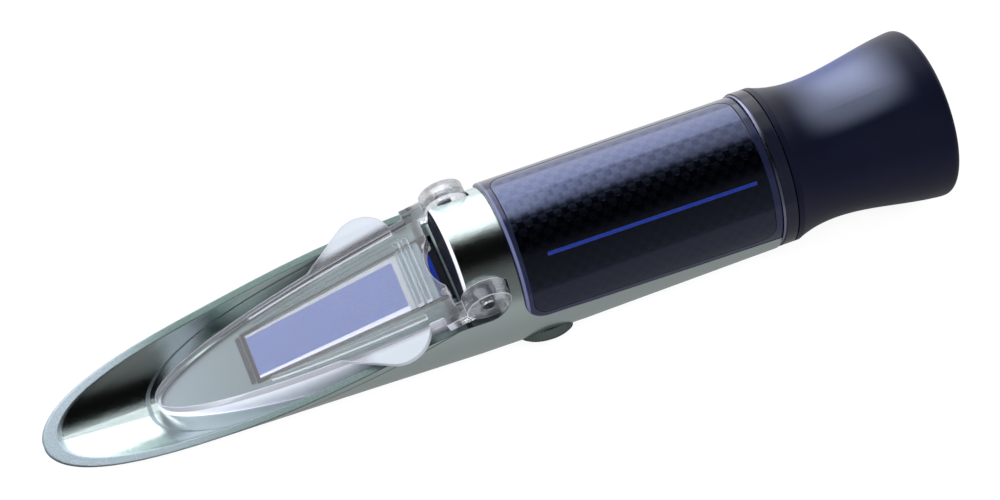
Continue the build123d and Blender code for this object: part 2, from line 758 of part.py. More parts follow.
lock_ring = round_part(lock_ring_x, rear_bore_x - fixed_gap, bore_fit, bore_fit - lock_ring_wall)
finish(lock_ring, "lock_ring")

# Fixed eyepiece tube: screwed into the rear bore, with a slot for the guide pin and a seal groove
eye_bore = eye_tube_radius - eye_tube_wall
guide_pin_x = guide_pin_from_front - cell_front
focus_seal_x = -focus_seal_front
with BuildPart() as eyepiece_tube:
    with BuildSketch(Plane.YZ.offset(rear_bore_x + fixed_gap)):
        Circle(rear_bore_radius - fixed_gap)
    extrude(amount=barrel_end_x - rear_bore_x - fixed_gap)
    with BuildSketch(Plane.YZ.offset(barrel_end_x)):
        Circle(eye_tube_radius)
    extrude(amount=-eye_tube_rear - barrel_end_x)
    with BuildSketch(Plane.YZ.offset(rear_bore_x)):
        Circle(eye_bore)
    extrude(amount=-rear_bore_x, mode=Mode.SUBTRACT)
    with BuildSketch(Plane.XY.offset(eye_bore / 2)):
        with Locations((guide_pin_x, 0)):
            slot_length = 2 * (guide_pin_radius + cell_travel + clear_gap)
            SlotOverall(slot_length, 2 * (guide_pin_radius + running_gap))
    extrude(amount=eye_tube_radius, mode=Mode.SUBTRACT)
    with BuildSketch(Plane.YZ.offset(focus_seal_x)):
        Circle(2 * eye_tube_radius)
        Circle(eye_tube_radius - focus_seal_depth, mode=Mode.SUBTRACT)
    extrude(amount=focus_seal_width, mode=Mode.SUBTRACT)
finish(eyepiece_tube.part, "eyepiece_tube")
seal_inner = eye_tube_radius - focus_seal_depth
seal_rear_x = focus_seal_x + focus_seal_width - fixed_gap
finish(round_part(focus_seal_x + fixed_gap, seal_rear_x, eye_tube_radius, seal_inner), "focus_seal")

# Sliding cell with the field lens, a spacer, the eye lens and a lock ring
cell_x = -cell_front
cell_radius = eye_bore - running_gap
cell_bore = cell_radius - cell_wall
lens_radius = cell_bore - fixed_gap
lens_clear_radius = lens_radius - cell_lip - fixed_gap
with BuildPart() as lens_cell:
    add(round_part(cell_x, cell_x + cell_length, cell_radius, cell_bore - cell_lip))
    with BuildSketch(Plane.YZ.offset(cell_x + cell_lip_width)):
        Circle(cell_bore)
    extrude(amount=cell_length, mode=Mode.SUBTRACT)
    with BuildSketch(Plane.XY.offset(cell_bore / 2)):
        with Locations((guide_pin_x, 0)):
            Circle(guide_pin_radius + fixed_gap)
    extrude(amount=cell_radius, mode=Mode.SUBTRACT)
finish(lens_cell.part, "lens_cell")
field_lens_x = cell_x + cell_lip_width + fixed_gap
field_lens = lens_part(field_lens_x, lens_radius, lens_clear_radius, field_lens_edge, field_lens_middle)
finish(field_lens, "field_lens")
cell_ring_x = cell_x + cell_length - cell_ring_width
eye_lens_x = cell_ring_x - fixed_gap - eye_lens_edge
eye_lens = lens_part(eye_lens_x, lens_radius, lens_clear_radius, eye_lens_edge, eye_lens_middle)
finish(eye_lens, "eye_lens")
spacer_x = field_lens_x + field_lens_edge + fixed_gap
finish(round_part(spacer_x, eye_lens_x - fixed_gap, lens_radius, lens_radius - cell_lip), "lens_spacer")
finish(round_part(cell_ring_x, cell_x + cell_length, lens_radius, lens_radius - cell_lip), "cell_ring")
with BuildPart() as guide_pin:
    with BuildSketch(Plane.XY.offset(lens_radius)):
        with Locations((guide_pin_x, 0)):
            Circle(guide_pin_radius)
    extrude(amount=eye_tube_radius - lens_radius - fixed_gap)
finish(guide_pin.part, "guide_pin")

# Focus ring that turns on the eyepiece tube, and the rubber eyecup on it
with BuildPart() as focus_ring:
    add(round_part(-focus_ring_front, -focus_ring_rear, focus_radius, focus_bore - focus_ring_lip))
    with BuildSketch(Plane.YZ.offset(-focus_ring_front)):
        Circle(focus_bore)
    extrude(amount=focus_ring_front - focus_ring_rear - focus_ring_lip_width, mode=Mode.SUBTRACT)
finish(focus_ring.part, "focus_ring")

cup_base_radius = focus_radius + cup_base_wall
with BuildPart() as eyecup:
    with BuildSketch(Plane.XZ):
        with BuildLine():
            Polyline(
                (0, cup_mouth_radius),
                (-cup_mouth_depth, cup_mouth_radius),
                (-cup_mouth_depth, focus_radius),
                (cup_base_x, focus_radius),
                (cup_base_x, cup_base_radius),
                (cup_base_x + cup_base_width, cup_base_radius),
            )
            Spline(
                (cup_base_x + cup_base_width, cup_base_radius),
                (cup_shoulder_x, focus_radius + cup_shoulder_wall),
                (cup_neck_x, focus_radius + cup_neck_wall),
                (cup_flare_x, focus_radius + cup_flare_wall),
                (cup_rim_x, cup_rim_radius),
            )
            Polyline((cup_rim_x, cup_rim_radius), (0, cup_rim_radius), (0, cup_mouth_radius))
        make_face()
    revolve(axis=Axis.X)
    fillet(eyecup.edges().filter_by(GeomType.CIRCLE).group_by(Axis.X)[-1].sort_by(SortBy.RADIUS)[-1], cup_edge_radius)
finish(eyecup.part, "eyecup")

# Grip sleeve over the barrel, the glossy label panel let into it, and the rings behind it
label_radius = sleeve_radius - label_depth
with BuildSketch() as label_side:
    add(sleeve_side.sketch)
    offset(amount=-label_inset, mode=Mode.REPLACE)
    fillet(label_side.vertices().group_by(Axis.X)[-1].sort_by(Axis.Y)[0], label_corner)
with BuildSketch() as label_top:
    with Locations((sleeve_front_x + label_inset, label_far_edge)):
        label_length = sleeve_length - 2 * label_inset
        Rectangle(label_length, 4 * sleeve_radius, align=(Align.MIN, Align.MAX))
    fillet(label_top.vertices().group_by(Axis.Y)[-1], label_corner)


def label_shape(gap):
    """The label panel, or the recess for it where the gap round it is more than nothing."""
    with BuildPart() as shape:
        add(round_part(sleeve_front_x, sleeve_rear_x, sleeve_radius + gap, label_radius))
        with BuildSketch(Plane.XZ):
            add(label_side.sketch)
            if gap > 0:
                offset(amount=gap, mode=Mode.REPLACE)
        extrude(amount=2 * sleeve_radius, both=True, mode=Mode.INTERSECT)
        with BuildSketch():
            add(label_top.sketch)
            if gap > 0:
                offset(amount=gap, mode=Mode.REPLACE)
        extrude(amount=2 * sleeve_radius, mode=Mode.INTERSECT)
    return shape.part


with BuildPart() as label_panel:
    add(label_shape(0))
    outer_face = label_panel.faces().filter_by(GeomType.CYLINDER).sort_by(SortBy.AREA)[-1]
    fillet(outer_face.edges(), label_edge)
finish(label_panel.part, "label_panel")

with BuildPart() as grip_sleeve:
    add(round_part(sleeve_front_x, sleeve_rear_x, sleeve_radius, seat_radius + fixed_gap))
    with BuildSketch(Plane.XZ):
        add(sleeve_side.sketch)
    extrude(amount=2 * sleeve_radius, both=True, mode=Mode.INTERSECT)
    outer_face = grip_sleeve.faces().filter_by(GeomType.CYLINDER).sort_by(SortBy.AREA)[-1]
    fillet(outer_face.edges(), sleeve_edge)
    add(label_shape(label_gap), mode=Mode.SUBTRACT)
finish(grip_sleeve.part, "grip_sleeve")

trim_rear_x = sleeve_rear_x + trim_ring_width
finish(round_part(sleeve_rear_x, trim_rear_x, trim_ring_radius, seat_radius + fixed_gap), "trim_ring")
end_ring = round_part(trim_rear_x, barrel_end_x, end_ring_radius, seat_radius + fixed_gap)
finish(end_ring, "end_ring")
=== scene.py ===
import json
import math
from types import SimpleNamespace

import bpy
from bpy.props import FloatProperty, FloatVectorProperty, PointerProperty
from mathutils import Matrix, Vector

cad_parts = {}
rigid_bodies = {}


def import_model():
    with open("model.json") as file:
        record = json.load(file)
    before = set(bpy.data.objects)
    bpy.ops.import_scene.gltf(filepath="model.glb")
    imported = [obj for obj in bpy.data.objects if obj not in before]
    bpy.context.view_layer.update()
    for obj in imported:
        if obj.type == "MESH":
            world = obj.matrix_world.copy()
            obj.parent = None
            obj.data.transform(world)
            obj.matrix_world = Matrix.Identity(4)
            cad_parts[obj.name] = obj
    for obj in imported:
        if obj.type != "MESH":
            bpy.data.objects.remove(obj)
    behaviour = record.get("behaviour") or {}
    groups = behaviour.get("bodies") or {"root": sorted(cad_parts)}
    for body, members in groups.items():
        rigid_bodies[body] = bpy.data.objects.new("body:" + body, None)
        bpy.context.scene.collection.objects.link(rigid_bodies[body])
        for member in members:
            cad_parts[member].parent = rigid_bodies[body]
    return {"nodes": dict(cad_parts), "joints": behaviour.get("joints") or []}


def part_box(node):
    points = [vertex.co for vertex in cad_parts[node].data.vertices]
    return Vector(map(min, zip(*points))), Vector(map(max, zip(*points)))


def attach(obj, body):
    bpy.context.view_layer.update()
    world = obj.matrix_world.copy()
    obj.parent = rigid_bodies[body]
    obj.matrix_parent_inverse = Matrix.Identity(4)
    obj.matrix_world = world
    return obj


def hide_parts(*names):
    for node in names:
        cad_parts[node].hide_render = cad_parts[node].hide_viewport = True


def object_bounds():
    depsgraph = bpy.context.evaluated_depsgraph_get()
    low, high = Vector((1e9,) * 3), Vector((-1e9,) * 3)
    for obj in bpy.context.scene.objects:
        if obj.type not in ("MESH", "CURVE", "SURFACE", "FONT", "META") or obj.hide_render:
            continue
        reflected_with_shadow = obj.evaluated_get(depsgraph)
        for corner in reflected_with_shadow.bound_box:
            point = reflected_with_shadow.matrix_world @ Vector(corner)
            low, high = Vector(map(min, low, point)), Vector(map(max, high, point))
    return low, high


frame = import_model()

bl_info = {
    "name": "Handheld refractometer",
    "version": (1, 0, 0),
    "blender": (4, 5, 0),
    "location": "View3D > Sidebar > Refractometer",
    "description": "Finishes and fine pieces of a handheld refractometer, built on its packed solids",
    "category": "Add Mesh",
}

MM = 0.001
PANEL_NAME = "Refractometer"
CAD_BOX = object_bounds()


def front_of(node):
    """Place of a CAD node's end towards the nose, in millimetres along the optical axis."""
    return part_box(node)[0].x / MM


def rear_of(node):
    """Place of a CAD node's end towards the eye, in millimetres along the optical axis."""
    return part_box(node)[1].x / MM


# Hinge of the daylight plate, and the plate's slope
HINGE = next(joint for joint in frame["joints"] if joint["name"] == "plate_hinge")
HINGE_X, _, HINGE_Z = HINGE["pos_m"]
PLATE_SLOPE = math.radians(16.2)
UP_SLOPE = Vector((math.cos(PLATE_SLOPE), 0, math.sin(PLATE_SLOPE)))
PLATE_NORMAL = Vector((-math.sin(PLATE_SLOPE), 0, math.cos(PLATE_SLOPE)))

# Adjusting knob: its axis, how far its top is from the optical axis, and its height below its dome and in it
KNOB = next(joint for joint in frame["joints"] if joint["name"] == "knob_turn")
KNOB_CENTRE = Vector(KNOB["pos_m"])
KNOB_AXIS = Vector(KNOB["axis"]).normalized()
KNOB_REACH = 18.9 * MM
KNOB_HEIGHT = 1.9 * MM
KNOB_DOME = 0.75 * MM

# Places along the optical axis, in millimetres: the casting's tip, its pocket near the hinge, and pieces' ends
NOSE_TIP = front_of("body")
POCKET_FRONT = HINGE_X / MM - 6.4
SEAL_FRONT = front_of("prism_seal")
PRISM_FRONT = front_of("prism")
CLAMP_FRONT = front_of("prism_clamp")
CLAMP_REAR = rear_of("prism_clamp")
BARREL_FACE = front_of("front_mask")
SLEEVE_FRONT = front_of("grip_sleeve")

# Stretches of the casting, in millimetres along the optical axis, over which painted shade darkens its blasted
# metal, its far rim does so too, and the far side of its scoop turns from polished to a painted grey that stands
# for light
BLAST_INTO_SHADE = (-186, -140)
RIM_INTO_SHADE = (-182, -160)
SCOOP_TO_PAINTED_LIGHT = (-155, -143)

# Blue face of the prism: its rear end, its half width at the front and how much that grows in each millimetre
FACE_REAR = rear_of("prism") - 6.0
FACE_HALF = 4.46
FACE_GROWTH = 0.023
# Width of the prism's seal, in millimetres
SEAL_WIDTH = 0.9
# Depth of the island below the hinge, across the plate's slope, in millimetres
ISLAND_DEPTH = 2.9
# Rim of the open nose, as its height at five places along it, in millimetres
RIM_POINTS = (
    (NOSE_TIP, -12.88), (NOSE_TIP + 24.3, -8.25), (NOSE_TIP + 45.0, -4.3), (NOSE_TIP + 60.0, -0.4),
    (POCKET_FRONT, 4.7),
)
# Plan of the daylight plate, in millimetres: its reach from the hinge, the half axes of its ellipse, whose middle
# lies beyond the hinge, and how much smaller the island under it is
PLATE_LENGTH = 70.1
PLATE_LONG = 86.4
PLATE_MIDDLE = PLATE_LONG - PLATE_LENGTH
PLATE_HALF = 12.5
ISLAND_INSET = 0.5
# Outside of the sleeve and of the label on it, in millimetres
SLEEVE_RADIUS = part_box("grip_sleeve")[1].z / MM
# Stripe on the label: its ends along the axis, its angle from the top and how that turns with x, in degrees
STRIPE_FRONT = front_of("label_panel") + 5.0
STRIPE_REAR = rear_of("label_panel") - 2.3
STRIPE_MIDDLE = (STRIPE_FRONT + STRIPE_REAR) / 2
STRIPE_ANGLE = 34.9
STRIPE_TURN = 0.031
# Edges of a made piece that fold less than this are smooth, in radians
SMOOTH_FOLD = 0.6


class RefractometerColours(bpy.types.PropertyGroup):
    """Colours that a user would change."""

    metal: FloatVectorProperty(
        name="Metal", description="Plated casting", subtype="COLOR", size=3, min=0, max=1,
        default=(0.53, 0.61, 0.60),
    )
    prism: FloatVectorProperty(
        name="Prism", description="Face of the measuring prism", subtype="COLOR", size=3, min=0, max=1,
        default=(0.110, 0.175, 0.49),
    )
    plastic: FloatVectorProperty(
        name="Grip", description="Glossy grip sleeve", subtype="COLOR", size=3, min=0, max=1,
        default=(0.004, 0.005, 0.014),
    )
    rubber: FloatVectorProperty(
        name="Rubber", description="Eyecup", subtype="COLOR", size=3, min=0, max=1,
        default=(0.0015, 0.0020, 0.0065),
    )
    stripe: FloatVectorProperty(
        name="Stripe", description="Stripe on the label", subtype="COLOR", size=3, min=0, max=1,
        default=(0.002, 0.011, 0.110),
    )


class RefractometerSizes(bpy.types.PropertyGroup):
    """Sizes of patterns and finishes that a user would change."""

    weave: FloatProperty(
        name="Weave", description="Width of one square of the label's weave", unit="LENGTH", default=1.6 * MM,
    )
    grain: FloatProperty(
        name="Grain", description="Size of the blasted grain on the metal", unit="LENGTH", default=0.22 * MM,
    )
    edge: FloatProperty(
        name="Edge", description="Rounding of the metal's edges", unit="LENGTH", default=0.35 * MM,
    )


class Socket:
    """An output of a node that takes part in Python arithmetic."""

    def __init__(self, owner, socket):
        self.owner = owner
        self.socket = socket

    def __add__(self, other):
        return self.owner.maths("ADD", self, other)

    def __radd__(self, other):
        return self.owner.maths("ADD", other, self)

    def __sub__(self, other):
        return self.owner.maths("SUBTRACT", self, other)

    def __rsub__(self, other):
        return self.owner.maths("SUBTRACT", other, self)

    def __mul__(self, other):
        return self.owner.maths("MULTIPLY", self, other)

    def __rmul__(self, other):
        return self.owner.maths("MULTIPLY", other, self)

    def __truediv__(self, other):
        return self.owner.maths("DIVIDE", self, other)

    def __pow__(self, other):
        return self.owner.maths("POWER", self, other)

    def __neg__(self):
        return self.owner.maths("MULTIPLY", self, -1.0)

    def __abs__(self):
        return self.owner.maths("ABSOLUTE", self)


class Tree:
    """A node tree, written with plain expressions."""

    prefix = "ShaderNode"

    def node(self, kind, sockets=None, out=0, stops=None, **settings):
        """Adds a node, with its settings and stops first and then its sockets; gives one of its outputs."""
        full = kind if kind.startswith(("ShaderNode", "FunctionNode")) else self.prefix + kind
        made = self.tree.nodes.new(full)
        for key, value in settings.items():
            setattr(made, key, value)
        if stops:
            ramp = made.color_ramp.elements
            while len(ramp) < len(stops):
                ramp.new(1.0)
            for element, (position, colour) in zip(ramp, stops):
                element.position = position
                element.color = (*colour, 1.0)
        for key, value in (sockets or {}).items():
            if isinstance(value, Socket):
                self.tree.links.new(value.socket, made.inputs[key])
            else:
                made.inputs[key].default_value = value
        return Socket(self, made.outputs[out])

    def maths(self, operation, *values):
        return self.node("ShaderNodeMath", dict(enumerate(values)), operation=operation)


class Finish(Tree):
    """One procedural material, or the world."""

    def __init__(self, name, owner=None):
        self.owner = owner or bpy.data.materials.new(name)
        self.owner.use_nodes = True
        self.tree = self.owner.node_tree
        self.tree.nodes.clear()

    def smooth(self, value, low, high):
        """0 from low outwards and 1 from high outwards, with a soft step between; low may be the larger one."""
        sockets = {"Value": value, "From Min": low, "From Max": high}
        return self.node("MapRange", sockets, interpolation_type="SMOOTHSTEP")

    def between(self, value, low, high, soft):
        """1 between low and high, and 0 outside them, with soft steps inside of this width."""
        return self.smooth(value, low, low + soft) * self.smooth(value, high, high - soft)

    def most(self, *values):
        """The largest of these numbers."""
        largest = values[0]
        for value in values[1:]:
            largest = self.maths("MAXIMUM", largest, value)
        return largest

    def mix(self, factor, a, b):
        """Colour a where the factor is 0, and colour b where it is 1."""
        colours = [(*c, 1.0) if isinstance(c, (tuple, list)) and len(c) == 3 else c for c in (a, b)]
        return self.node("Mix", {0: factor, 6: colours[0], 7: colours[1]}, out=2, data_type="RGBA")

    def blend(self, factor, a, b):
        """Number a where the factor is 0, and number b where it is 1."""
        return a + factor * (b - a)

    def place(self):
        """The point on the piece, in millimetres, as x, y and z."""
        point = self.node("TexCoord", out="Object")
        axes = [self.node("SeparateXYZ", {0: point}, out=axis) for axis in "XYZ"]
        return [axis * (1 / MM) for axis in axes]

    def facing(self):
        """The surface's normal, as x, y and z."""
        normal = self.node("TexCoord", out="Normal")
        return [self.node("SeparateXYZ", {0: normal}, out=axis) for axis in "XYZ"]

    def noise(self, size, detail=2.0, roughness=0.5, stretch=(1, 1, 1)):
        """Noise whose lumps have this size in metres."""
        point = self.node("TexCoord", out="Object")
        scaled = self.node("Mapping", {"Vector": point, "Scale": stretch})
        sockets = {"Vector": scaled, "Scale": 1 / size, "Detail": detail, "Roughness": roughness}
        return self.node("TexNoise", sockets)

    def ray(self, question):
        """What the light path node says of the ray that sees this point."""
        return self.node("LightPath", out=question)

    def bump(self, height, depth, normal=None):
        """Normal of a relief that is this deep, in metres."""
        sockets = {"Strength": 1.0, "Distance": depth, "Height": height}
        if normal:
            sockets["Normal"] = normal
        return self.node("Bump", sockets)

    def edge(self, radius):
        """Normal with rounded edges of this radius."""
        return self.node("Bevel", {"Radius": radius}, samples=6)

    def outline(self, rounded, low, high):
        """1 along the edges that this rounded normal softens, and 0 elsewhere."""
        plain = self.node("NewGeometry", out="Normal")
        agree = self.node("VectorMath", {0: rounded, 1: plain}, out="Value", operation="DOT_PRODUCT")
        return self.smooth(1 - agree, low, high)

    def principled(self, **sockets):
        """A principled shader; socket names have _ for a space."""
        named = {}
        for key, value in sockets.items():
            plain = key.replace("_", " ")
            named[plain] = (*value, 1.0) if isinstance(value, tuple) else value
        return self.node("BsdfPrincipled", named)

    def surface(self, **sockets):
        """Ends the material in one principled shader."""
        return self.end(self.principled(**sockets))

    def end(self, shader, kind="Material"):
        output = self.tree.nodes.new("ShaderNodeOutput" + kind)
        self.tree.links.new(shader.socket, output.inputs["Surface"])
        return self.owner


class Shape(Tree):
    """One geometry node tree with named inputs."""

    prefix = "GeometryNode"

    def __init__(self, name, **inputs):
        self.name = name
        self.tree = bpy.data.node_groups.new(name, "GeometryNodeTree")
        self.tree.is_modifier = True
        self.ids = {}
        for label, value in inputs.items():
            kind = "Int" if isinstance(value, int) else "Float"
            self.declare(label, kind).default_value = value
        self.declare("material", "Material")
        self.tree.interface.new_socket("Geometry", in_out="OUTPUT", socket_type="NodeSocketGeometry")
        self.source = self.tree.nodes.new("NodeGroupInput")

    def declare(self, label, kind):
        socket = self.tree.interface.new_socket(label, in_out="INPUT", socket_type="NodeSocket" + kind)
        self.ids[label] = socket.identifier
        return socket

    def given(self, label):
        """The value of one of the tree's inputs."""
        return Socket(self, self.source.outputs[label])

    def vector(self, x=0.0, y=0.0, z=0.0):
        return self.node("ShaderNodeCombineXYZ", {0: x, 1: y, 2: z})

    def moved(self, geometry, **sockets):
        return self.node("Transform", {"Geometry": geometry, **sockets})

    def joined(self, *parts):
        joint = self.tree.nodes.new("GeometryNodeJoinGeometry")
        for part in reversed(parts):
            self.tree.links.new(part.socket, joint.inputs[0])
        return Socket(self, joint.outputs[0])

    def build(self, geometry, material, place, **values):
        """Runs the tree with these values, and gives a plain object with the result moved to its place."""
        solid = self.node("RealizeInstances", {0: geometry})
        angle = self.node("InputMeshEdgeAngle")
        soft = self.node("FunctionNodeCompare", {0: angle, 1: SMOOTH_FOLD}, operation="LESS_THAN")
        faces = self.node("SetShadeSmooth", {"Geometry": solid}, domain="FACE")
        edges = self.node("SetShadeSmooth", {"Geometry": faces, "Shade Smooth": soft}, domain="EDGE")
        dressed = self.node("SetMaterial", {"Geometry": edges, "Material": self.given("material")})
        output = self.tree.nodes.new("NodeGroupOutput")
        self.tree.links.new(dressed.socket, output.inputs[0])
        made = bpy.data.objects.new(self.name, bpy.data.meshes.new(self.name))
        bpy.context.scene.collection.objects.link(made)
        modifier = made.modifiers.new("shape", "NODES")
        modifier.node_group = self.tree
        for label, value in {**values, "material": material}.items():
            modifier[self.ids[label]] = value
        bpy.context.view_layer.update()
        evaluated = made.evaluated_get(bpy.context.evaluated_depsgraph_get())
        mesh = bpy.data.meshes.new_from_object(evaluated)
        made.modifiers.clear()
        made.data = mesh
        mesh.transform(place)
        return made


def dress(material, *nodes):
    """Gives CAD nodes this material."""
    for name in nodes:
        slots = frame["nodes"][name].data.materials
        slots.clear()
        slots.append(material)


def rim_height(x):
    """Height of the rim's flat at x: the curve through the rim's five points, in millimetres."""
    total = 0.0
    for here, (xa, za) in enumerate(RIM_POINTS):
        term = za
        for other, (xb, _) in enumerate(RIM_POINTS):
            if other != here:
                term = term * ((x - xb) / (xa - xb))
        total = total + term
    return total


def up_slope(x, z):
    """Distance from the hinge along the plate, in millimetres; it grows towards the eye."""
    return (x - HINGE_X / MM) * UP_SLOPE.x + (z - HINGE_Z / MM) * UP_SLOPE.z


def plan(finish, run, y, inset=0.0):
    """1 on the outline of the plate in plan, less inside it and more outside it."""
    along = (run - PLATE_MIDDLE) / (PLATE_LONG - inset)
    aside = y / (PLATE_HALF - inset)
    return finish.maths("SQRT", along * along + aside * aside)


def casting_areas(metal):
    """Masks of the casting's areas, by name: 1 on the area and 0 elsewhere."""
    x, y, z = metal.place()
    nx, ny, nz = metal.facing()
    ahead = metal.smooth(x, POCKET_FRONT + 0.5, POCKET_FRONT - 1.5)
    depth = (x - HINGE_X / MM) * PLATE_NORMAL.x + (z - HINGE_Z / MM) * PLATE_NORMAL.z
    island = metal.smooth(abs(depth + ISLAND_DEPTH), 0.2, 0.1) * ahead
    rim = metal.smooth(z - rim_height(x), -0.6, -0.3) * metal.smooth(nz, 0.6, 0.85) * ahead
    blasted = metal.most(island, rim)

    from_plan = abs(plan(metal, up_slope(x, z), y, ISLAND_INSET) - 1)
    # Painted light: the island's near wall is painted near white and less metallic, for the bright reflection it
    # shows
    near_wall_light = metal.smooth(from_plan, 0.02, 0.01) * metal.smooth(nz, -0.4, -0.3) * (1 - blasted) * ahead
    near_wall_light = near_wall_light * metal.smooth(y, 3, -3)
    island_edge = metal.smooth(from_plan, 0.06, 0.03) * ahead
    # Painted shade in the gap just ahead of the prism's seal
    gap = island * metal.between(x, SEAL_FRONT - 1.5, SEAL_FRONT - 0.2, 0.2) * metal.smooth(abs(y), 5.6, 5.4)
    # Painted light: the far side of the scoop gets a paler, less metallic grey in place of the light it reflects
    far_scoop_light = metal.smooth(y, 4, 7) * metal.smooth(x, *SCOOP_TO_PAINTED_LIGHT) * ahead
    far_scoop_light = far_scoop_light * (1 - blasted) * metal.smooth(-ny, 0.1, 0.4)

    front = metal.smooth(-nx, 0.75, 0.9) * metal.smooth(x, CLAMP_REAR - 0.3, CLAMP_REAR - 0.1)
    # Painted highlight along the rounded lip of the barrel's front
    lip_highlight = metal.smooth(x, BARREL_FACE + 0.9, BARREL_FACE + 0.7) * metal.smooth(x, CLAMP_REAR, CLAMP_REAR + 0.3)
    lip_highlight = lip_highlight * metal.smooth(y * y + z * z, 14.14 ** 2, 14.35 ** 2) * metal.smooth(z, 9, 10) * (1 - front)
    # Painted shade on the floors of the pockets by the hinge
    pocket_shade = metal.smooth(nz, 0.80, 0.95) * metal.smooth(z, 5.6, 5.2)
    pocket_shade = pocket_shade * metal.smooth(x, POCKET_FRONT - 1.5, POCKET_FRONT - 0.5)
    # Painted shade: the seat between the barrel's face and the clamp is painted near black
    seat = metal.smooth(x, BARREL_FACE + 0.3, BARREL_FACE + 0.2)
    seat = seat * metal.smooth(x, CLAMP_REAR - 0.4, CLAMP_REAR - 0.1)
    seat = seat * metal.smooth(nz, 0.5, 0.8) * metal.smooth(y, 7, 3)

    # Painted shade: the blasted metal darkens towards the hinge and along the far rim
    rearward_shade = metal.smooth(x, *BLAST_INTO_SHADE)
    far_rim_shade = rim * metal.smooth(y, 4, 12) * metal.smooth(x, *RIM_INTO_SHADE)
    return SimpleNamespace(
        island=island, blasted=blasted, near_wall_light=near_wall_light, island_edge=island_edge, gap=gap, far_scoop_light=far_scoop_light,
        front=front, lip_highlight=lip_highlight, pocket_shade=pocket_shade, seat=seat, blast_in_shade=metal.most(rearward_shade * 0.8, far_rim_shade * 0.95),
    )


def cast_metal(colours, sizes):
    """Plated casting: blasted rim and island, polished scoop and barrel, black front face, painted shade and
    painted highlights.
    """
    metal = Finish("cast_metal")
    areas = casting_areas(metal)
    grain = metal.noise(sizes.grain, detail=3.0, roughness=0.7)
    cloud = metal.noise(14 * MM, detail=2.0)
    rounded = metal.edge(sizes.edge)
    # Painted highlights along the island's edge and the barrel's lip
    pale_highlight = metal.most(areas.lip_highlight, metal.outline(rounded, 0.01, 0.12) * areas.island_edge)

    speckle = metal.smooth(grain, 0.35, 0.65)
    # Blasted metal as lit, and the same in painted shade
    blast_in_light = metal.mix(speckle, (0.30, 0.37, 0.40), (0.46, 0.54, 0.60))
    blast_in_shade = metal.mix(speckle, (0.11, 0.17, 0.15), (0.19, 0.26, 0.24))
    tone = metal.mix(cloud * 0.3, tuple(colours.metal), (0.46, 0.57, 0.54))
    layers = (
        (areas.blasted, metal.mix(areas.blast_in_shade, blast_in_light, blast_in_shade)),
        (areas.gap, (0.02, 0.03, 0.03)),
        (areas.pocket_shade, (0.16, 0.20, 0.20)),
        (areas.seat * 0.85, (0.02, 0.03, 0.04)),
        (areas.near_wall_light, (0.86, 0.87, 0.97)),
        (pale_highlight, (0.66, 0.67, 0.75)),
        (areas.front, (0.005, 0.007, 0.014)),
        (areas.far_scoop_light * 0.6, (0.36, 0.43, 0.43)),
    )
    for mask, colour in layers:
        tone = metal.mix(mask, tone, colour)

    # Painted highlights and painted light are less metallic and rougher
    painted_light_matte = metal.most(areas.near_wall_light * 0.85, pale_highlight * 0.6, areas.far_scoop_light * 0.35)
    metallic = (1 - painted_light_matte) * (1 - areas.front)
    roughness = metal.blend(areas.blasted, 0.12 + 0.04 * cloud, 0.40 + 0.1 * grain)
    roughness = metal.blend(metal.most(areas.near_wall_light, pale_highlight), roughness, 0.35)
    roughness = metal.blend(metal.most(areas.front * 1.4, areas.pocket_shade), roughness, 0.65)
    normal = metal.bump(grain * metal.blend(areas.island, 1.0, 0.5), 0.03 * MM, rounded)
    return metal.surface(
        Base_Color=tone, Metallic=metallic, Roughness=roughness, Specular_IOR_Level=0.25, Normal=normal,
    )


def clear_acrylic():
    """Clear acrylic: painted white highlights along its edges and side faces, milky in its two tabs, and its ears
    show the pins inside.
    """
    acrylic = Finish("clear_acrylic")
    x, y, z = acrylic.place()
    nx, _, nz = acrylic.facing()
    run = up_slope(x, z)
    wear = acrylic.noise(3 * MM, detail=4.0)
    rounded = acrylic.edge(0.30 * MM)
    normal = acrylic.bump(wear, 0.004 * MM, rounded)

    tab = acrylic.smooth(plan(acrylic, run, y), 1.0, 1.15) * acrylic.smooth(run, -9.5, -10.5)
    tab = tab * acrylic.smooth(run, -30, -24)
    # Painted highlights: the plate's edges and side faces turn milky white
    outline = acrylic.outline(rounded, 0.01, 0.15) * 0.8
    level = abs(nx * PLATE_NORMAL.x + nz * PLATE_NORMAL.z)
    side = acrylic.smooth(level, 0.5, 0.3) * acrylic.smooth(run, -7.0, -8.5) * 0.6
    clear = acrylic.principled(
        Base_Color=(0.96, 0.97, 1.0), Roughness=0.03 + 0.04 * wear, IOR=1.49, Specular_IOR_Level=0.1,
        Transmission_Weight=1.0, Normal=normal,
    )
    white = acrylic.mix(tab, (0.60, 0.61, 0.70), (0.38, 0.42, 0.47))
    haze = acrylic.principled(Base_Color=white, Roughness=0.4 + 0.1 * wear, Normal=normal)
    milky_and_highlight = acrylic.most(outline, side, tab * 0.75)
    glassy = acrylic.node("MixShader", {0: milky_and_highlight, 1: clear, 2: haze})

    ear = acrylic.smooth(run, -7.5, -6.0)
    from_pin = acrylic.maths("SQRT", (x - HINGE_X / MM) ** 2.0 + (z - HINGE_Z / MM) ** 2.0)
    facet = acrylic.smooth(acrylic.noise(3.2 * MM, detail=0.0), 0.50, 0.60)
    # The ears' edges carry the same painted highlight
    seen = acrylic.most(outline, 0.08 + 0.27 * facet) * acrylic.smooth(from_pin, 1.8, 2.3)
    veil = acrylic.principled(
        Base_Color=(0.60, 0.63, 0.70), Roughness=0.1 + 0.1 * wear, Alpha=seen, Normal=normal,
    )
    return acrylic.end(acrylic.node("MixShader", {0: ear * 0.45, 1: glassy, 2: veil}))


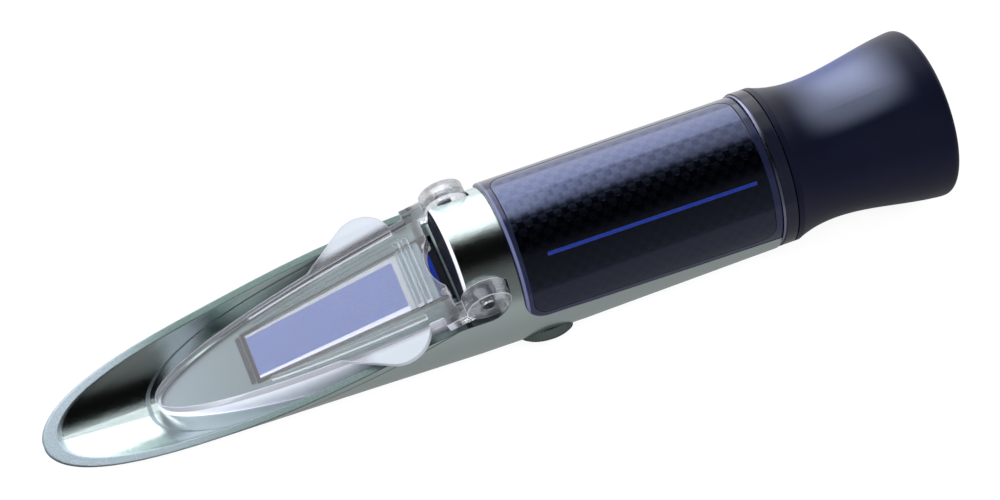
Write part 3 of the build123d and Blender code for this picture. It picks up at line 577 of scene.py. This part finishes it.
def prism_glass(colours):
    """Face of the prism: lavender blue, with a paler border along both sides and behind it, and a painted
    highlight along the near side.
    """
    glass = Finish("prism_glass")
    x, y, _ = glass.place()
    cloud = glass.noise(9 * MM)
    tone = glass.mix(cloud, tuple(colours.prism), tuple(c * 1.2 for c in colours.prism))
    half = FACE_HALF + (x - PRISM_FRONT) * FACE_GROWTH
    ahead = glass.smooth(x, FACE_REAR, FACE_REAR - 0.4)
    inside = glass.smooth(half - abs(y), -0.15, 0.15) * ahead
    behind = glass.smooth(x, FACE_REAR + 0.7, FACE_REAR + 1.1)
    border = glass.mix(behind, (0.42, 0.45, 0.48), (0.20, 0.27, 0.29))
    # Painted highlight along the near side of the border
    border = glass.mix(glass.smooth(y, -2, -4) * ahead, border, (0.80, 0.81, 0.90))
    colour = glass.mix(inside, border, tone)
    return glass.surface(Base_Color=colour, Metallic=(1 - inside) * 0.5, Roughness=0.2 + 0.1 * cloud)


def seal_finish():
    """Seal round the prism: dark across the front, and paler along the sides, more so on the far side."""
    seal = Finish("prism_seal")
    x, y, _ = seal.place()
    grain = seal.noise(0.3 * MM, detail=3.0)
    side = seal.mix(seal.smooth(y, -2, 2), (0.16, 0.19, 0.19), (0.22, 0.28, 0.26))
    behind = seal.smooth(x, SEAL_FRONT + SEAL_WIDTH, SEAL_FRONT + SEAL_WIDTH + 8.8)
    tone = seal.mix(behind, (0.004, 0.006, 0.006), side)
    tone = seal.mix(grain * 0.2, tone, (0.03, 0.04, 0.04))
    return seal.surface(Base_Color=tone, Roughness=0.4 + 0.2 * grain, Specular_IOR_Level=0.2)


def clamp_finish(colours):
    """Black clamp, with a blue strip along its front edge where the prism's rear face shines on it."""
    clamp = Finish("clamp")
    x, y, z = clamp.place()
    grain = clamp.noise(0.3 * MM, detail=3.0)
    lit = clamp.smooth(x, CLAMP_FRONT + 1.2, CLAMP_FRONT + 1.05)
    lit = lit * clamp.smooth(y, 4.4, 4.0) * clamp.smooth(z, 3.5, 3.8)
    tone = clamp.mix(lit, (0.006, 0.007, 0.010), tuple(2.2 * c for c in colours.stripe))
    tone = clamp.mix(grain * 0.3, tone, (0.010, 0.011, 0.014))
    return clamp.surface(Base_Color=tone, Roughness=0.4 + 0.2 * grain, Specular_IOR_Level=0.1)


def lens_glass():
    """Coated optical glass."""
    glass = Finish("lens_glass")
    smear = glass.noise(2 * MM, detail=3.0)
    tint = glass.mix(smear, (0.86, 0.90, 1.0), (0.95, 0.93, 1.0))
    return glass.surface(Base_Color=tint, Roughness=0.02 + 0.03 * smear, IOR=1.52, Transmission_Weight=1.0)


def soft_rubber(name, colour, roughness, highlight_ends=(0.0, 0.0)):
    """Matte rubber with a very fine grain; its far half has a painted bluish highlight between these two places.
    """
    rubber = Finish(name)
    x, y, _ = rubber.place()
    front, rear = highlight_ends
    soft = 12
    # Painted highlight: a lavender, metallic patch on the far upper side between the two places
    sheen_highlight = rubber.between(x, front - soft / 2, rear + soft / 2, soft) * rubber.smooth(y, -6, 2)
    grain = rubber.noise(0.12 * MM, detail=2.0, roughness=0.6)
    bloom = rubber.noise(11 * MM, detail=3.0)
    tone = rubber.mix(bloom, colour, tuple(1.5 * c for c in colour))
    tone = rubber.mix(sheen_highlight, tone, (0.150, 0.170, 0.245))
    normal = rubber.bump(grain, 0.01 * MM, rubber.edge(0.2 * MM))
    return rubber.surface(
        Base_Color=tone, Metallic=sheen_highlight, Roughness=roughness + 0.06 * bloom, Specular_IOR_Level=0.28,
        Specular_Tint=(0.62, 0.66, 1.0), Normal=normal,
    )


def grip_plastic(colours):
    """Glossy moulded plastic of the grip sleeve, with a painted highlight round its front end."""
    plastic = Finish("sleeve_plastic")
    x, y, z = plastic.place()
    ripple = plastic.noise(6 * MM, detail=2.0)
    rounded = plastic.edge(0.3 * MM)
    # Painted highlight round the sleeve's front end
    front_highlight = plastic.smooth(x, SLEEVE_FRONT + 0.75, SLEEVE_FRONT + 0.55)
    front_highlight = front_highlight * plastic.smooth(y * y + z * z, 15.94 ** 2, 16.06 ** 2)
    tone = plastic.mix(ripple, tuple(colours.plastic), tuple(2.0 * c for c in colours.plastic))
    tone = plastic.mix(front_highlight, tone, (0.07, 0.08, 0.15))
    normal = plastic.bump(ripple, 0.01 * MM, rounded)
    return plastic.surface(
        Base_Color=tone, Roughness=0.10 + 0.06 * ripple, Specular_IOR_Level=0.7,
        Specular_Tint=(0.70, 0.73, 1.0), Normal=normal,
    )


def label_film(colours, sizes):
    """Glossy film with a fine square weave and one blue stripe, painted shade on its near side and a painted
    highlight round its edge.
    """
    film = Finish("label_film")
    x, y, z = film.place()
    angle = film.maths("ARCTAN2", y, z)
    square = sizes.weave / MM
    across = film.maths("FRACT", x / square * 0.5 + 100)
    along = film.maths("FRACT", angle * SLEEVE_RADIUS / square * 0.5 + 100)
    odd = abs(film.maths("GREATER_THAN", across, 0.5) - film.maths("GREATER_THAN", along, 0.5))
    weave = film.mix(odd, (0.061, 0.073, 0.136), (0.074, 0.089, 0.160))
    # Painted shade: the weave darkens on the near side, below the top
    weave = film.mix(film.smooth(angle, -0.2, -0.7) * 0.65, weave, (0.008, 0.010, 0.016))
    from_stripe = math.degrees(1) * angle + STRIPE_ANGLE + (x - STRIPE_MIDDLE) * STRIPE_TURN
    stripe = film.smooth(abs(from_stripe), 1.42, 1.30) * film.between(x, STRIPE_FRONT, STRIPE_REAR, 0.2)
    colour = film.mix(stripe, weave, tuple(colours.stripe))
    fibre = film.blend(odd, film.maths("PINGPONG", across, 0.25), film.maths("PINGPONG", along, 0.25))
    rounded = film.edge(0.2 * MM)
    # Painted highlight round the label's edge
    colour = film.mix(film.outline(rounded, 0.01, 0.12), colour, (0.30, 0.31, 0.45))
    normal = film.bump(fibre * (1 - stripe), 0.035 * MM, rounded)
    return film.surface(
        Base_Color=colour, Metallic=1 - stripe, Roughness=0.19 + 0.07 * odd, Coat_Weight=0.35,
        Coat_Roughness=0.04, Normal=normal,
    )


def dark_metal(name, colour, roughness):
    """Dark coated metal, with a fine turned grain round the optical axis."""
    metal = Finish(name)
    turned = metal.noise(0.25 * MM, detail=2.0, stretch=(1.0, 0.04, 0.04))
    tone = metal.mix(turned, colour, tuple(1.6 * c for c in colour))
    normal = metal.bump(turned, 0.01 * MM, metal.edge(0.2 * MM))
    return metal.surface(Base_Color=tone, Metallic=0.3, Roughness=roughness + 0.08 * turned, Normal=normal)


def bright_metal(name, colour, roughness):
    """Bare metal with fine turning marks."""
    metal = Finish(name)
    turned = metal.noise(0.3 * MM, detail=3.0, stretch=(1.0, 0.1, 0.1))
    tone = metal.mix(turned, colour, tuple(0.8 * c for c in colour))
    normal = metal.bump(turned, 0.01 * MM, metal.edge(0.15 * MM))
    return metal.surface(Base_Color=tone, Metallic=1.0, Roughness=roughness + 0.1 * turned, Normal=normal)


def flat_black(name):
    """Matt black plastic."""
    black = Finish(name)
    grain = black.noise(0.3 * MM, detail=3.0)
    tone = black.mix(grain, (0.004, 0.005, 0.010), (0.010, 0.012, 0.022))
    return black.surface(Base_Color=tone, Roughness=0.35 + 0.2 * grain, Specular_IOR_Level=0.12)


def floor_finish():
    """Plain white floor that fades into the picture's ground; shiny pieces see its near part dark, a painted
    shadow.
    """
    floor = Finish("floor")
    cloud = floor.noise(0.4, detail=2.0)
    tone = floor.mix(cloud, (0.165, 0.165, 0.17), (0.175, 0.175, 0.175))
    y = floor.place()[1]
    seen = floor.most(floor.ray("Is Camera Ray"), floor.ray("Is Transmission Ray"))
    # Painted shadow: rays other than the camera's see the floor dark near the object and bright further off
    reflected_with_shadow = floor.mix(floor.smooth(y, -5, 60), (0.07, 0.07, 0.07), (0.85, 0.85, 0.90))
    glow = floor.mix(seen, reflected_with_shadow, (0.76, 0.76, 0.76))
    return floor.surface(Base_Color=tone, Roughness=0.9, Emission_Color=glow, Emission_Strength=1.0)


def studio_world():
    """White all round, for soft light; shiny and clear pieces see a studio that is dark above instead."""
    world = bpy.data.worlds.new("studio")
    studio = Finish("studio", world)
    direction = studio.node("TexCoord", out="Generated")
    y, z = [studio.node("SeparateXYZ", {0: direction}, out=axis) for axis in "YZ"]
    turn = abs(studio.maths("ARCTAN2", z, y)) * (1 / math.pi)
    levels = (
        (0.0, 0.9), (0.29, 0.9), (0.35, 0.6), (0.39, 0.003), (0.62, 0.003), (0.67, 0.03), (0.70, 0.10),
        (0.78, 0.15), (1.0, 0.22),
    )
    stops = [(place, (level, level, level)) for place, level in levels]
    dark = studio.node("ValToRGB", {0: turn}, stops=stops)
    sharp = studio.most(studio.ray("Is Glossy Ray"), studio.ray("Is Transmission Ray"))
    first = studio.smooth(studio.ray("Diffuse Depth"), 0.9, 0.5)
    colour = studio.mix(sharp * first, (1.0, 1.0, 1.0), dark)
    studio.end(studio.node("Background", {"Color": colour, "Strength": 1.1}), "World")
    world.cycles.sampling_method = "NONE"
    return world


class REFRACTOMETER_OT_casting(bpy.types.Operator):
    """Finishes the metal casting"""

    bl_idname = "refractometer.casting"
    bl_label = "Casting"

    def execute(self, context):
        scene = context.scene
        dress(cast_metal(scene.refractometer_colours, scene.refractometer_sizes), "body")
        return {"FINISHED"}


class REFRACTOMETER_OT_plate(bpy.types.Operator):
    """Finishes the daylight plate, and makes the two pins it turns on"""

    bl_idname = "refractometer.plate"
    bl_label = "Daylight plate"

    def execute(self, context):
        dress(clear_acrylic(), "daylight_plate")
        low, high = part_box("hinge_pins")
        pin = Shape("pins", radius=1.57 * MM, length=5.9 * MM, reach=12.9 * MM, chamfer=0.25 * MM)
        radius, length, chamfer = pin.given("radius"), pin.given("length"), pin.given("chamfer")
        plain = {"Vertices": 48, "Radius": radius, "Depth": length - chamfer}
        shank = pin.moved(pin.node("MeshCylinder", plain), Translation=pin.vector(z=chamfer * -0.5))
        tip = {"Vertices": 48, "Radius Top": radius - chamfer, "Radius Bottom": radius, "Depth": chamfer}
        head = pin.moved(pin.node("MeshCone", tip), Translation=pin.vector(z=length * 0.5 - chamfer))
        out = pin.moved(pin.joined(shank, head), Translation=pin.vector(z=pin.given("reach") - length * 0.5))
        near = pin.moved(out, Rotation=(math.radians(90), 0, 0))
        far = pin.moved(out, Rotation=(math.radians(-90), 0, 0))
        place = Matrix.Translation((low + high) / 2)
        pins = pin.build(pin.joined(near, far), flat_black("pin_black"), place, reach=(high.y - low.y) / 2)
        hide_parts("hinge_pins")
        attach(pins, "barrel")
        return {"FINISHED"}


class REFRACTOMETER_OT_prism(bpy.types.Operator):
    """Finishes the prism and its clamp, the rubber seals and the mask on the barrel's front"""

    bl_idname = "refractometer.prism"
    bl_label = "Prism"

    def execute(self, context):
        dress(prism_glass(context.scene.refractometer_colours), "prism")
        dress(seal_finish(), "prism_seal")
        dress(soft_rubber("seal_rubber", (0.010, 0.010, 0.012), 0.5), "knob_seal", "focus_seal")
        dress(clamp_finish(context.scene.refractometer_colours), "prism_clamp")
        dress(flat_black("mask_plastic"), "front_mask")
        return {"FINISHED"}


class REFRACTOMETER_OT_grip(bpy.types.Operator):
    """Finishes the grip sleeve, its label and the rings behind it"""

    bl_idname = "refractometer.grip"
    bl_label = "Grip"

    def execute(self, context):
        scene = context.scene
        dress(grip_plastic(scene.refractometer_colours), "grip_sleeve")
        dress(label_film(scene.refractometer_colours, scene.refractometer_sizes), "label_panel")
        dress(dark_metal("black_metal", (0.004, 0.005, 0.011), 0.16), "end_ring", "focus_ring")
        dress(bright_metal("trim_metal", (0.28, 0.30, 0.42), 0.22), "trim_ring")
        return {"FINISHED"}


class REFRACTOMETER_OT_eyecup(bpy.types.Operator):
    """Finishes the rubber eyecup"""

    bl_idname = "refractometer.eyecup"
    bl_label = "Eyecup"

    def execute(self, context):
        colour = tuple(context.scene.refractometer_colours.rubber)
        dress(soft_rubber("cup_rubber", colour, 0.36, highlight_ends=(-26.0, -10.0)), "eyecup")
        return {"FINISHED"}


class REFRACTOMETER_OT_knob(bpy.types.Operator):
    """Makes the adjusting knob, with fine ribs round its skirt"""

    bl_idname = "refractometer.knob"
    bl_label = "Adjusting knob"

    def execute(self, context):
        knob = Shape("knob", radius=5.6 * MM, height=KNOB_HEIGHT, dome=KNOB_DOME, rib=0.20 * MM, ribs=48)
        radius, height, dome, rib = [knob.given(label) for label in ("radius", "height", "dome", "rib")]
        sizes = {"Vertices": 96, "Radius": radius - rib * 0.5, "Depth": height}
        drum = knob.moved(knob.node("MeshCylinder", sizes), Translation=knob.vector(z=height * 0.5))
        bevel = {"Vertices": 96, "Radius Top": radius - dome, "Radius Bottom": radius, "Depth": dome * 0.6}
        collar = knob.moved(knob.node("MeshCone", bevel), Translation=knob.vector(z=height))
        ball = knob.node("MeshUVSphere", {"Segments": 96, "Rings": 32, "Radius": radius - dome})
        flat = knob.vector(1.0, 1.0, dome * 0.4 / (radius - dome))
        cap = knob.moved(ball, Scale=flat, Translation=knob.vector(z=height + dome * 0.6))
        points = knob.node("MeshCircle", {"Vertices": knob.given("ribs"), "Radius": radius - rib})
        bar = knob.node("MeshCylinder", {"Vertices": 12, "Radius": rib, "Depth": height - rib})
        bars = knob.node("InstanceOnPoints", {"Points": points, "Instance": bar})
        fence = knob.moved(bars, Translation=knob.vector(z=height * 0.5))
        whole = knob.joined(drum, collar, cap, fence)
        turn = KNOB_AXIS.to_track_quat("Z", "X").to_matrix().to_4x4()
        seat = KNOB_REACH - KNOB_DOME - KNOB_HEIGHT
        place = Matrix.Translation(KNOB_CENTRE + KNOB_AXIS * seat) @ turn
        made = knob.build(whole, dark_metal("knob_metal", (0.030, 0.038, 0.038), 0.32), place)
        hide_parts("adjusting_knob")
        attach(made, "knob")
        return {"FINISHED"}


class REFRACTOMETER_OT_optics(bpy.types.Operator):
    """Finishes the pieces inside the barrel"""

    bl_idname = "refractometer.optics"
    bl_label = "Optics"

    def execute(self, context):
        dress(lens_glass(), "bore_window", "objective_lens", "scale_glass", "field_lens", "eye_lens")
        dress(
            dark_metal("inner_black", (0.010, 0.010, 0.012), 0.5), "window_ring", "front_stop",
            "objective_holder", "objective_ring", "optical_tube", "rear_stop", "scale_holder", "scale_ring",
            "lock_ring", "eyepiece_tube", "lens_cell", "lens_spacer", "cell_ring",
        )
        dress(bright_metal("brass", (0.72, 0.52, 0.22), 0.25), "knob_bush", "objective_carrier")
        dress(
            bright_metal("steel", (0.55, 0.56, 0.58), 0.25), "bimetal_strip", "strip_screws", "clamp_screws",
            "guide_pin",
        )
        return {"FINISHED"}


def area_light(name, centre, target, width, height, radiance, colour):
    """Soft box that faces a target; its radiance is its brightness as seen, whatever its size."""
    light = bpy.data.lights.new(name, "AREA")
    light.shape = "RECTANGLE"
    light.size = width
    light.size_y = height
    light.energy = radiance * math.pi * width * height
    light.color = colour
    box = bpy.data.objects.new(name, light)
    bpy.context.scene.collection.objects.link(box)
    box.location = centre
    box.rotation_mode = "QUATERNION"
    box.rotation_quaternion = (Vector(target) - Vector(centre)).to_track_quat("-Z", "Y")
    box.visible_camera = False
    return box


class REFRACTOMETER_OT_stage(bpy.types.Operator):
    """Makes the floor, the lights and the camera"""

    bl_idname = "refractometer.stage"
    bl_label = "Stage"

    def execute(self, context):
        scene = context.scene
        lowest = CAD_BOX[0].z
        half = 2.5  # metres
        mesh = bpy.data.meshes.new("floor")
        corners = [(-half, -half, lowest), (half, -half, lowest), (half, half, lowest), (-half, half, lowest)]
        mesh.from_pydata(corners, [], [(0, 1, 2, 3)])
        mesh.materials.append(floor_finish())
        floor = bpy.data.objects.new("floor", mesh)
        scene.collection.objects.link(floor)
        cool = (0.95, 0.96, 1.0)
        area_light("far_wall", (-0.25, 0.42, 0.13), (-0.25, 0.0, 0.06), 0.70, 0.30, 1.7, cool)
        area_light("soft_box", (-0.29, 0.33, 0.39), (-0.29, -0.057, 0.073), 0.61, 0.284, 1.7, cool)
        fill = area_light("fill", (-0.15, -0.33, 0.42), (-0.15, 0.0, -0.01), 0.40, 0.40, 8.0, (1.0, 1.0, 1.0))
        fill.visible_glossy = False
        fill.visible_transmission = False
        scene.world = studio_world()
        scene.view_settings.view_transform = "Standard"

        azimuth, elevation = math.radians(-21.49), math.radians(62.27)
        middle = Vector((-0.0975, 0, 0))
        distance = 0.5301
        back = Vector((
            math.sin(azimuth) * math.cos(elevation), -math.cos(azimuth) * math.cos(elevation),
            math.sin(elevation),
        ))
        lens = bpy.data.cameras.new("camera")
        lens.lens = 93.42
        lens.sensor_width = 36.0
        lens.shift_x = 0.0096
        lens.shift_y = 0.0118
        camera = bpy.data.objects.new("camera", lens)
        scene.collection.objects.link(camera)
        camera.location = middle + back * distance
        camera.rotation_mode = "QUATERNION"
        camera.rotation_quaternion = (-back).to_track_quat("-Z", "Y")
        scene.camera = camera
        return {"FINISHED"}


OPERATORS = (
    REFRACTOMETER_OT_casting, REFRACTOMETER_OT_plate, REFRACTOMETER_OT_prism, REFRACTOMETER_OT_grip,
    REFRACTOMETER_OT_eyecup, REFRACTOMETER_OT_knob, REFRACTOMETER_OT_optics, REFRACTOMETER_OT_stage,
)


class REFRACTOMETER_PT_panel(bpy.types.Panel):
    """Lists the refractometer's pieces, colours and sizes"""

    bl_idname = "REFRACTOMETER_PT_panel"
    bl_label = PANEL_NAME
    bl_space_type = "VIEW_3D"
    bl_region_type = "UI"
    bl_category = PANEL_NAME

    def draw(self, context):
        for operator in OPERATORS:
            self.layout.operator(operator.bl_idname)
        for group in (context.scene.refractometer_colours, context.scene.refractometer_sizes):
            for name in group.bl_rna.properties.keys():
                if name not in ("rna_type", "name"):
                    self.layout.prop(group, name)


CLASSES = (RefractometerColours, RefractometerSizes, *OPERATORS, REFRACTOMETER_PT_panel)


def register():
    for kind in CLASSES:
        bpy.utils.register_class(kind)
    bpy.types.Scene.refractometer_colours = PointerProperty(type=RefractometerColours)
    bpy.types.Scene.refractometer_sizes = PointerProperty(type=RefractometerSizes)


def unregister():
    del bpy.types.Scene.refractometer_sizes
    del bpy.types.Scene.refractometer_colours
    for kind in reversed(CLASSES):
        bpy.utils.unregister_class(kind)


def main():
    """Makes every piece in order."""
    register()
    for operator in OPERATORS:
        group, name = operator.bl_idname.split(".")
        getattr(getattr(bpy.ops, group), name)()


if __name__ == "__main__":
    main()
